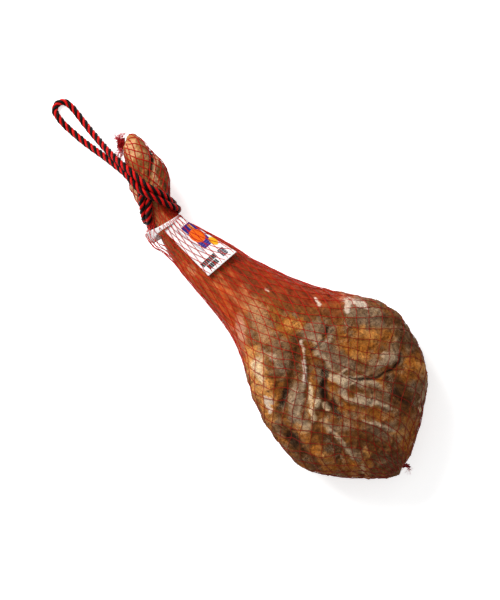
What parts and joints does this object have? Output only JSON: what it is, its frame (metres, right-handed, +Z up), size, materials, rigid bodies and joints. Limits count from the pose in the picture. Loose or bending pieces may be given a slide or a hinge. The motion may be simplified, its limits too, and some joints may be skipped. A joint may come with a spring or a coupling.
{
  "type": "whole cured ham in a net",
  "caption": "Whole cured ham lying on its side in a knitted net sleeve, with a blank paper label on its shank and a twisted hanging cord.",
  "frame": {"origin": "centre of the resting object's footprint, without its cord, on the surface it lies on", "axes": "+X from the trotter to the butt, +Z up from the surface, +Y towards the side where the rump bulges most"},
  "size_m": [0.8139, 0.2852, 0.1366],
  "materials": {
    "skin": "dry cured rind and mould, with fat that shines a little",
    "net": "red knitted elastic thread",
    "card": "coated white card with plain printed blocks",
    "cord": "smooth twisted cord, two red and two black strands"
  },
  "bodies": {
    "root": {"ham": "skin", "net_sleeve": "net", "net_gather_hock": "net", "net_knot_butt": "net", "label": "card", "hanging_cord": "cord"}
  },
  "joints": []
}
